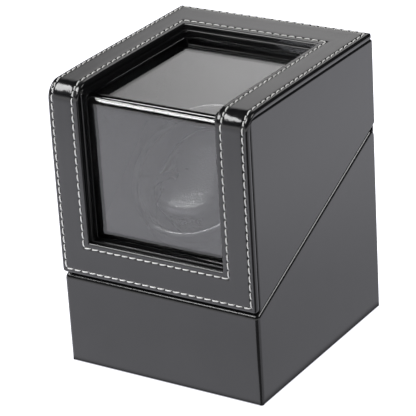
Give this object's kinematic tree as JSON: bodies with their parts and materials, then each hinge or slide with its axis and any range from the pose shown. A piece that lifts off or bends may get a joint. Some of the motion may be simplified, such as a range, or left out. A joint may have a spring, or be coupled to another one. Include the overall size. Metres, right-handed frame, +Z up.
{
  "type": "watch winder box",
  "caption": "Leather-covered watch winder box, split on a slant, with an L-shaped window, hinged lid, and a tilted motor-driven cup holding a watch cushion.",
  "frame": {"origin": "on the surface the box stands on, under the middle of the base", "axes": "+Z up, -Y is the front with the window, +X to the right seen from the front"},
  "size_m": [0.12, 0.136, 0.161],
  "materials": {
    "leather": "coated black leatherette with a fine grain and a soft shine",
    "frame_leather": "coated black leatherette over a padded board, edge-stitched",
    "cushion_leather": "soft black leatherette, padded",
    "velvet": "short-pile black velvet",
    "felt": "pressed black felt",
    "gloss_black": "polished black plastic",
    "matte_black": "fine-textured black moulded plastic",
    "acrylic": "clear bent acrylic",
    "gear_plastic": "natural acetal",
    "steel": "bright zinc-plated steel",
    "nickel": "satin nickel plate",
    "bronze": "oil-filled sintered bronze",
    "wood": "raw fibreboard and pine",
    "board": "green solder-masked circuit board",
    "lead": "flat two-core lead"
  },
  "bodies": {
    "base": {"base_shell": "leather", "bottom_panel": "wood", "base_felt": "felt", "bottom_screws": "steel", "corner_blocks": "wood", "cheek_left": "velvet", "cheek_right": "velvet", "deck": "velvet", "back_panel": "velvet", "base_magnets": "nickel", "module_housing": "matte_black", "housing_screws": "steel", "front_bush": "bronze", "rear_bush": "bronze", "thrust_washer": "steel", "gearbox": "matte_black", "gearbox_screws": "steel", "motor_can": "steel", "motor_endcap": "matte_black", "control_panel": "matte_black", "panel_screws": "steel", "control_board": "board", "board_chips": "matte_black", "board_spacers": "bronze", "dc_jack": "matte_black", "speed_switch": "matte_black", "direction_switch": "matte_black", "battery_box": "matte_black", "battery_contacts": "nickel", "motor_leads": "lead", "battery_leads": "lead", "hinge_base_left": "nickel", "hinge_base_right": "nickel", "hinge_pins": "nickel", "hinge_base_screws": "nickel"},
    "lid": {"hinge_lid_left": "nickel", "hinge_lid_right": "nickel", "hinge_lid_screws": "nickel", "lid_shell": "leather", "window_frame": "frame_leather", "window_trim": "gloss_black", "window_pane": "acrylic", "pane_retainer": "matte_black", "lining_left": "velvet", "lining_right": "velvet", "lining_rear": "velvet", "lid_magnets": "nickel"},
    "rotor": {"rotor_cup": "gloss_black", "cup_rim": "gloss_black", "cup_lining": "velvet", "rotor_gear": "gear_plastic", "gear_screws": "steel", "rotor_shaft": "steel", "shaft_clip": "steel"},
    "pinion": {"pinion": "gear_plastic", "pinion_shaft": "steel"},
    "cushion": {"cushion": "cushion_leather"},
    "speed_knob": {"speed_knob": "matte_black"},
    "direction_slider": {"direction_slider": "matte_black"},
    "battery_cover": {"battery_cover": "matte_black"}
  },
  "joints": [
    {"name": "lid_hinge", "type": "hinge", "parent": "base", "child": "lid", "pos_m": [0, 0.0669, 0.10908], "axis": [-1, 0, 0], "range_deg": [0, 100]},
    {"name": "rotor_spin", "type": "hinge", "parent": "base", "child": "rotor", "pos_m": [0, -0.0098, 0.09409], "axis": [0, -0.6428, 0.766], "continuous": true},
    {"name": "pinion_spin", "type": "hinge", "parent": "base", "child": "pinion", "pos_m": [0, -0.03431, 0.07352], "axis": [0, -0.6428, 0.766], "continuous": true},
    {"name": "cushion_lift", "type": "slide", "parent": "rotor", "child": "cushion", "axis": [0, -0.6428, 0.766], "range_m": [0, 0.012]},
    {"name": "speed_turn", "type": "hinge", "parent": "base", "child": "speed_knob", "pos_m": [0.017, 0.0661, 0.034], "axis": [0, 1, 0], "range_deg": [0, 120]},
    {"name": "direction_slide", "type": "slide", "parent": "base", "child": "direction_slider", "axis": [1, 0, 0], "range_m": [-0.002, 0.002]},
    {"name": "battery_cover_slide", "type": "slide", "parent": "base", "child": "battery_cover", "axis": [0, 1, 0], "range_m": [0, 0.008]}
  ],
  "couplings": [
    {"joint": "pinion_spin", "follows": "rotor_spin", "ratio": -4.3333}
  ]
}
